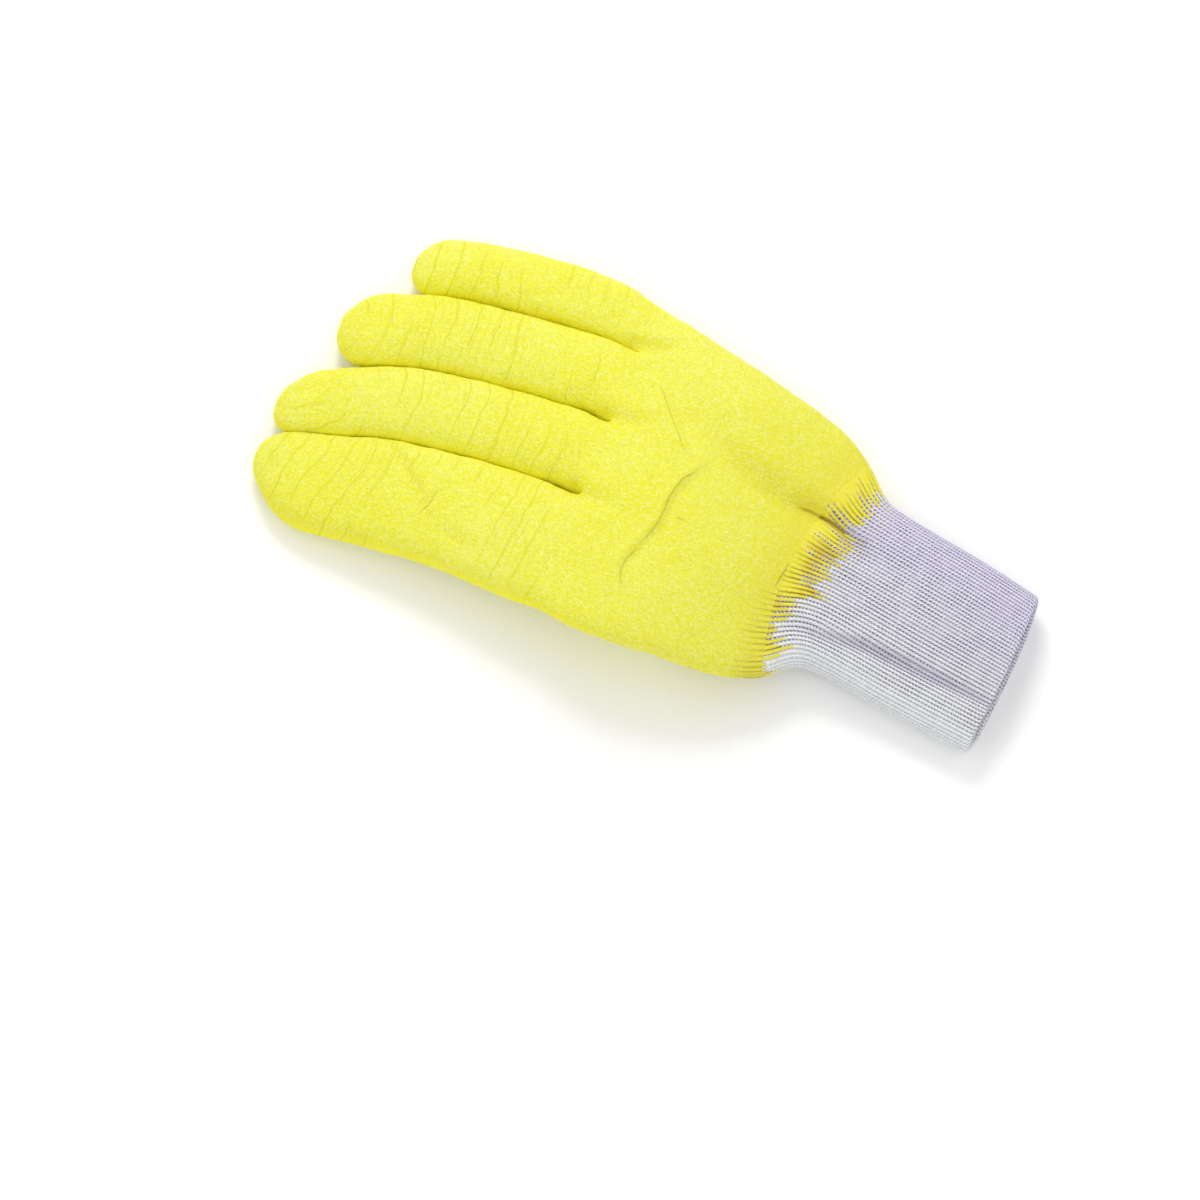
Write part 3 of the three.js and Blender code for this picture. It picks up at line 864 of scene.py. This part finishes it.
# %% [markdown]
# The colours are set as they would be on a paint chart and turned into the linear values that the shader
# works in. The picture's own colour handling is set to plain, so that a saturated yellow stays saturated.

# %% Colours and materials
bpy.context.scene.view_settings.view_transform = "Standard"


def linear(hex_code):
    """A paint-chart colour such as F0E82C as linear red, green, blue and alpha."""
    shares = [int(hex_code[i:i + 2], 16) / 255 for i in (0, 2, 4)]
    return [c / 12.92 if c <= 0.04045 else ((c + 0.055) / 1.055) ** 2.4 for c in shares] + [1.0]


def new_material(name, values):
    """A material whose shader has some of its sockets set."""
    material = bpy.data.materials.new(name)
    material.use_nodes = True
    for socket, value in values.items():
        material.node_tree.nodes["Principled BSDF"].inputs[socket].default_value = value
    return material


# %% [markdown]
# A finish is built from nodes, and one helper adds them all. Its plain values go to the node's sockets in
# turn. A name with a capital letter is a socket's, as in the editor, and a lower-case one is a setting.

# %% The node helper
TIMES = {"operation": "MULTIPLY"}
EASED = {"interpolation_type": "SMOOTHSTEP"}
COLOURS = {"data_type": "RGBA"}


def add(tree, kind, *values, output=None, **named):
    """Add a node with its settings and links, and return one of its outputs."""
    node = tree.nodes.new("ShaderNode" + kind)
    for name, value in named.items():
        if name.islower():
            setattr(node, name, value)
    sockets = list(zip([socket for socket in node.inputs if socket.enabled], values))
    sockets += [(node.inputs[name], value) for name, value in named.items() if not name.islower()]
    for socket, value in sockets:
        if isinstance(value, bpy.types.NodeSocket):
            tree.links.new(value, socket)
        else:
            socket.default_value = value
    return node.outputs[output] if output else next(socket for socket in node.outputs if socket.enabled)


# %% [markdown]
# Every finish here is made in the same few steps: masks that say where something is, tints painted over each
# other through those masks, and a relief that is stacked up from the same masks.

# %% Masks, tints and reliefs
def cells(size_mm):
    """The scale of a noise whose blobs have a size in mm: how many of them fit in a metre."""
    return 1 / (size_mm * MM)


def overlap(tree, *masks):
    """Where several masks meet: their product."""
    total = masks[0]
    for mask in masks[1:]:
        total = add(tree, "Math", total, mask, **TIMES)
    return total


def painted(tree, body, *tints):
    """Paint tints over a colour. Each has its mask, how strong it is, and its colour."""
    for mask, strength, colour in tints:
        tint = linear(colour) if isinstance(colour, str) else colour
        body = add(tree, "Mix", overlap(tree, mask, strength), body, tint, **COLOURS)
    return body


def stacked(tree, *reliefs):
    """Stack reliefs. Each has its mask and how much of it to add."""
    height = 0.0
    for mask, amount in reliefs:
        height = add(tree, "Math", mask, amount, height, operation="MULTIPLY_ADD")
    return height


def finish_piece(piece, material, body, height, relief_mm):
    """Link a colour and a relief of some mm to a material's shader, and give the material to a piece."""
    tree = material.node_tree
    shader = tree.nodes["Principled BSDF"]
    bump = add(tree, "Bump", Height=height, Distance=relief_mm * MM, Strength=1.0)
    tree.links.new(body, shader.inputs["Base Color"])
    tree.links.new(bump, shader.inputs["Normal"])
    piece.data.materials.append(material)
    print(material.name, "has", len(tree.nodes), "nodes")


# %% Patterns that more than one finish uses
def off_middle(tree, count):
    """How far a running count is from the middle of its step, from 0 to 0.5."""
    share = add(tree, "Math", count, operation="FRACT")
    return add(tree, "Math", add(tree, "Math", share, 0.5, operation="SUBTRACT"), operation="ABSOLUTE")


def arcs(tree, spacing, width):
    """Lines of some width at some spacing, in mm, that run across the fingers."""
    reach = add(tree, "Attribute", output="Fac", attribute_name="arc")
    near = off_middle(tree, add(tree, "Math", reach, 1 / spacing, **TIMES))
    return add(tree, "MapRange", near, 0.0, width / spacing, 1.0, 0.0, **EASED)


def patches(tree, size_mm, low, high):
    """A cloud of noise that is 1 in some places and 0 in others, to break lines off."""
    place = add(tree, "TexCoord", output="Object")
    cloud = add(tree, "TexNoise", Vector=place, Scale=cells(size_mm), Detail=1.0)
    return add(tree, "MapRange", cloud, low, high, **EASED)


def creases(tree):
    """All stored creases together, up to 1 on a crease and 0 off it."""
    total = 0.0
    for name, _, darkness, _ in CREASES:
        place = add(tree, "Attribute", output="Vector", attribute_name=name)
        widths = add(tree, "Math", add(tree, "SeparateXYZ", place, output="X"), operation="ABSOLUTE")
        strength = add(tree, "SeparateXYZ", place, output="Y")
        line = add(tree, "MapRange", widths, 0.2, 1.6, darkness, 0.0, **EASED)
        total = add(tree, "Math", total, overlap(tree, line, strength), operation="MAXIMUM")
    return total


# %% [markdown]
# The coat is matt rubber with a crinkled face. It is swollen with a solvent before it cures, and so it
# shrinks into fine wrinkles about 1.5 mm apart. What gives the eye rubber here is the soft, wide highlight
# on each wrinkle, which comes from the lamps and from a paler yellow painted on its top as painted highlight,
# and a yellow that deepens at the foot of each wrinkle and in the hollows instead of turning grey, which is
# painted shade.

# %% Crinkled rubber coat
RUBBER_GLOW = (1.0, 0.95, 0.12)  # red and green light spread in the rubber, and blue is soaked up
latex = new_material("crinkled_latex", {
    "Roughness": 0.6, "Specular IOR Level": 0.35, "Subsurface Radius": RUBBER_GLOW,
    "Subsurface Scale": 2.5 * MM})
tree = latex.node_tree
# The sides of the fingers are read here, to be painted a brighter, fuller yellow as painted bounce light.
depth, rib, opening, to_seam, on_finger, painted_bounce_light, hatched = (
    add(tree, "Attribute", output="Fac", attribute_name=name)
    for name in ("depth", "rib", "opened", "to_seam", "on_finger", "painted_bounce_light", "hatched"))
# Where the coat runs out at the seam it is too thin to glow.
glow = add(tree, "MapRange", to_seam, 1.0, 9.0, 0.0, 0.35, **EASED)
tree.links.new(glow, tree.nodes["Principled BSDF"].inputs["Subsurface Weight"])

# %% Wrinkles, cracks and valleys of the coat
place = add(tree, "TexCoord", output="Object")
stretched = add(tree, "VectorMath", place, (0.8, 1.15, 1.0), **TIMES)
# Two blobs of noise, a high one and a low one, make one wrinkle.
wrinkled = add(tree, "TexNoise", Vector=stretched, Scale=cells(0.74), Detail=1.0, Distortion=1.0)
grain = add(tree, "TexNoise", Vector=place, Scale=cells(0.45), Detail=1.0)
pillows = add(tree, "TexNoise", Vector=place, Scale=cells(4.35), Detail=2.0)
# The cracks sink in the relief, and they are also painted a darker yellow as painted shade in them.
long_cracks = overlap(tree, arcs(tree, 7.3, 0.5), patches(tree, 23.8, 0.44, 0.54))
short_cracks = overlap(tree, arcs(tree, 2.6, 0.32), patches(tree, 20.0, 0.5, 0.6), 0.55)
cracks = overlap(tree, add(tree, "Math", long_cracks, short_cracks, operation="MAXIMUM"), on_finger)
hatching = overlap(tree, arcs(tree, 1.35, 0.5), hatched, patches(tree, 3.85, 0.4, 0.55))
cracks = add(tree, "Math", cracks, hatching, operation="MAXIMUM")
# The valleys between the ribs of the wrist begin in the coat before the seam. They sink in the relief and are
# painted darker as painted shade.
valleys = overlap(tree, add(tree, "MapRange", off_middle(tree, rib), 0.3, 0.5, **EASED), opening)
# The creases sink in the relief and are painted as thin dark lines of painted shade.
creased = creases(tree)
height = stacked(tree, (wrinkled, 1.3), (grain, 0.5), (pillows, 0.9), (cracks, -0.4), (valleys, -1.6),
                 (creased, -1.3))

# %% Yellows of the coat
cloudy = add(tree, "TexNoise", Vector=place, Scale=cells(35.7), Detail=3.0)
pale = add(tree, "MapRange", cloudy, 0.35, 0.7, **EASED)
# Painted shade: the hollows of the folds are painted a deeper yellow.
painted_hollow_shade = add(tree, "MapRange", depth, -2.6, -0.1, 1.0, 0.0, **EASED)
near_wrist = add(tree, "MapRange", add(tree, "SeparateXYZ", place, output="X"), -0.035, 0.05, **EASED)
# Painted highlight: the top of each wrinkle is painted a paler yellow. Painted shade: its foot is painted a
# deeper yellow.
wrinkle_top_highlight = add(tree, "MapRange", wrinkled, 0.46, 0.66, **EASED)
wrinkle_foot_shade = add(tree, "MapRange", wrinkled, 0.34, 0.5, 1.0, 0.0, **EASED)
worn = add(tree, "MapRange", to_seam, 0.0, 15.0, 1.0, 0.0, **EASED)
body = add(tree, "Mix", pale, linear("EDEB2C"), linear("EFEE50"), **COLOURS)
# Painted over the base: painted shade in the hollows of the folds, a tint towards the wrist, painted
# highlight on each wrinkle's top and painted shade at its foot, painted bounce light on the sides of the
# fingers, painted shade in the cracks, the rib valleys and the creases, and a tint near the seam.
body = painted(
    tree, body, (painted_hollow_shade, 0.6, "E0D404"), (near_wrist, 0.6, "DEDA30"), (wrinkle_top_highlight, 0.42, "F4F4AC"),
    (wrinkle_foot_shade, 0.5, "E2DC06"), (painted_bounce_light, 0.6, "FAF218"), (cracks, 0.75, "E0DA06"),
    (valleys, 0.5, "B8A410"), (worn, 0.5, "E2D42C"), (creased, 0.85, "B8A410"))
finish_piece(coated, latex, body, height, 0.28)

# %% [markdown]
# The ribs below the seam have soaked up the coat. Their crests are yellow and nearly smooth. The valleys
# open towards the ragged end, where some of them show the bare yarn. The gaps between its stitches are
# painted dark as painted shade, and the valleys are darker with painted shade too.

# %% Ribs and stitches
STITCH_MM = 1.1


def rib_coordinates(tree):
    """From the UV map: the number of the rib, how far a spot is off its crest, and the mm along it."""
    ribs = add(tree, "UVMap", uv_map="ribs")
    across_ribs, along = (add(tree, "SeparateXYZ", ribs, output=axis) for axis in "XY")
    return add(tree, "Math", across_ribs, operation="FLOOR"), off_middle(tree, across_ribs), along


def random_per_rib(tree, number, seed):
    """A number from 0 to 1 that differs from rib to rib."""
    return add(tree, "TexWhiteNoise", Vector=add(tree, "Math", number, seed, operation="ADD"), output="Value")


def stitches(tree, number, off_crest, along):
    """Heights of a column of small V stitches, from 0 between two to 1 on one, that starts anywhere."""
    place = add(tree, "TexCoord", output="Object")
    jitter = add(tree, "TexNoise", Vector=place, Scale=cells(3.03), Detail=1.0)
    start = add(tree, "Math", jitter, 1.1, random_per_rib(tree, number, 0.3), operation="MULTIPLY_ADD")
    count = add(tree, "Math", along, 1 / STITCH_MM, start, operation="MULTIPLY_ADD")
    leaning = add(tree, "Math", off_crest, 1.5, count, operation="MULTIPLY_ADD")
    wave = add(tree, "Math", add(tree, "Math", leaning, math.tau, **TIMES), operation="SINE")
    return add(tree, "Math", wave, 0.5, 0.5, operation="MULTIPLY_ADD")


# %% Valleys and bare yarn of the soaked ribs
soaked = new_material("soaked_rib_knit", {
    "Roughness": 0.6, "Specular IOR Level": 0.35, "Subsurface Radius": RUBBER_GLOW,
    "Subsurface Scale": 1.2 * MM, "Subsurface Weight": 0.35})
tree = soaked.node_tree
to_end, opening, across = (add(tree, "Attribute", output="Fac", attribute_name=name)
                           for name in ("to_end", "opened", "across"))
number, off_crest, along = rib_coordinates(tree)
stitch = stitches(tree, number, off_crest, along)
groove = overlap(tree, add(tree, "MapRange", off_crest, 0.26, 0.46, **EASED), opening)
# In a valley the yarn is bare over a last stretch, which is longer in some ribs than in others.
luck = add(tree, "Math", random_per_rib(tree, number, 0.5), 2.0, operation="POWER")
bare_length = add(tree, "Math", luck, 13.0, -2.0, operation="MULTIPLY_ADD")
before_end = add(tree, "Math", to_end, bare_length, operation="SUBTRACT")
bare = overlap(tree, add(tree, "MapRange", before_end, -1.0, 0.5, 1.0, 0.0, **EASED),
               add(tree, "MapRange", off_crest, 0.2, 0.34, **EASED), patches(tree, 2.38, 0.36, 0.5))
# The creases sink in the relief and are painted as thin dark lines of painted shade.
creased = creases(tree)

# %% Yellows of the soaked ribs
place = add(tree, "TexCoord", output="Object")
grain = add(tree, "TexNoise", Vector=place, Scale=cells(1.11), Detail=3.0)
cloudy = add(tree, "TexNoise", Vector=place, Scale=cells(9.1), Detail=2.0)
off_centre = add(tree, "Math", add(tree, "Math", across, 0.1, operation="ADD"), operation="ABSOLUTE")
in_middle = add(tree, "MapRange", off_centre, 0.1, 0.7, 1.0, 0.25, **EASED)
ochre = overlap(tree, add(tree, "MapRange", cloudy, 0.36, 0.6, **EASED), opening, in_middle)
# The valleys are fainter towards the little finger.
shade = overlap(tree, groove, add(tree, "MapRange", across, 0.0, 0.6, 0.85, 0.45, **EASED))
# Painted shade: the bare yarn is painted dark between its stitches.
yarn = add(tree, "Mix", add(tree, "MapRange", stitch, 0.3, 0.75, **EASED), linear("6A5468"), linear("E2DEE8"),
           **COLOURS)
pale = add(tree, "MapRange", grain, 0.35, 0.65, **EASED)
body = add(tree, "Mix", pale, linear("E2D828"), linear("E8E050"), **COLOURS)
# Painted over the base: an ochre tint, the painted shade of the valleys, the bare yarn with painted shade
# between its stitches, and the painted shade of the creases.
body = painted(tree, body, (ochre, 0.75, "CBAF3C"), (shade, 1.0, "8A6E14"), (bare, 1.0, yarn),
               (creased, 0.9, "8C6A10"))
height = stacked(tree, (grain, 0.5), (groove, -1.0), (overlap(tree, stitch, bare), 0.6), (creased, -2.0))
finish_piece(band, soaked, body, height, 0.25)

# %% [markdown]
# The cuff is bare cotton rib. Each rib is a column of stitches, and each stitch is a small V. Matt fibres
# with a faint sheen at the edges of the cuff are what tells cotton from plastic, and so do the dark
# dots between stitches in every valley, which are painted shade. The gaps between stitches and the hollows
# of the folds are darkened with painted shade too. The cuff is painted a little more lilac towards the
# little finger's side as painted shade, in random clouds.

# %% Stitches of the cuff
cotton = new_material("cotton_rib_knit", {"Roughness": 0.92, "Specular IOR Level": 0.15, "Sheen Weight": 0.2})
tree = cotton.node_tree
to_end, across, depth = (add(tree, "Attribute", output="Fac", attribute_name=name)
                         for name in ("to_end", "across", "depth"))
place = add(tree, "TexCoord", output="Object")
number, off_crest, along = rib_coordinates(tree)
stitch = stitches(tree, number, off_crest, along)
valley = add(tree, "MapRange", off_crest, 0.24, 0.42, **EASED)
# Painted shade: the gaps between stitches are darkened a little.
between = add(tree, "MapRange", stitch, 0.0, 0.5, 1.0, 0.0, **EASED)
# The knit is tighter in some places, and smooth along the forefinger's edge.
uneven = add(tree, "TexNoise", Vector=place, Scale=cells(6.25), Detail=3.0)
tight = overlap(tree, add(tree, "MapRange", uneven, 0.35, 0.62, 0.62, 1.0, **EASED),
                add(tree, "MapRange", across, -0.92, -0.7, 0.1, 1.0, **EASED))
# Painted shade: dark dots in the valleys between stitches.
dots = overlap(tree, valley, tight, add(tree, "MapRange", stitch, 0.25, 0.8, 1.0, 0.22, **EASED))

# %% Whites of the cuff
fuzz = add(tree, "TexNoise", Vector=place, Scale=cells(0.91), Detail=3.0)
cloudy = add(tree, "TexNoise", Vector=place, Scale=cells(40.0), Detail=2.0)
# Painted shade: the yarn turns lilac towards the little finger's side, mixed with random clouds of tone.
tone = add(tree, "Math", cloudy, 0.8, across, operation="MULTIPLY_ADD")
lilac_clouds_and_side_shade = add(tree, "MapRange", tone, -0.2, 1.2, **EASED)
# Painted shade: the hollows of the folds on the cuff are painted a lilac grey.
painted_hollow_shade = add(tree, "MapRange", depth, -2.4, -0.2, 1.0, 0.0, **EASED)
fibres = add(tree, "MapRange", fuzz, 0.52, 0.7, **EASED)
# Drops of the coat have caught on the crests just past its end.
drops = overlap(tree, add(tree, "MapRange", to_end, -6.0, -0.5, **EASED),
                add(tree, "MapRange", fuzz, 0.54, 0.58, **EASED),
                add(tree, "MapRange", off_crest, 0.22, 0.34, 1.0, 0.0, **EASED))
body = add(tree, "Mix", lilac_clouds_and_side_shade, linear("F4F6F8"), linear("EAE4FA"), **COLOURS)
# Painted over the base: painted shade between stitches, paler fibres, painted shade in dots and in the
# hollows of the folds, and drops of the coat.
body = painted(
    tree, body, (overlap(tree, between, tight), 0.3, "ACA8C0"), (fibres, 0.6, "FDFDFE"),
    (dots, 1.0, "706888"), (painted_hollow_shade, 0.35, "9A90B4"), (drops, 0.85, "E8DE28"))
height = stacked(tree, (stitch, 0.9), (fuzz, 0.4), (valley, -1.2))
finish_piece(cuff, cotton, body, height, 0.3)

# %% [markdown]
# Each piece rides on the one body of the glove and stands in for its CAD solid, which is hidden. The floor
# is plain and pale.

# %% Hand the pieces to the frame
floor_material = new_material("pale_floor", {"Roughness": 0.9, "Base Color": linear("FFFFFF")})
floor.data.materials.append(floor_material)
for piece, node, slot in ((coated, "coated_hand", "rubber_coat"), (band, "dipped_rib_band", "soaked_rib"),
                          (cuff, "knit_cuff", "cotton_rib")):
    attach(piece, "root")
    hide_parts(node)
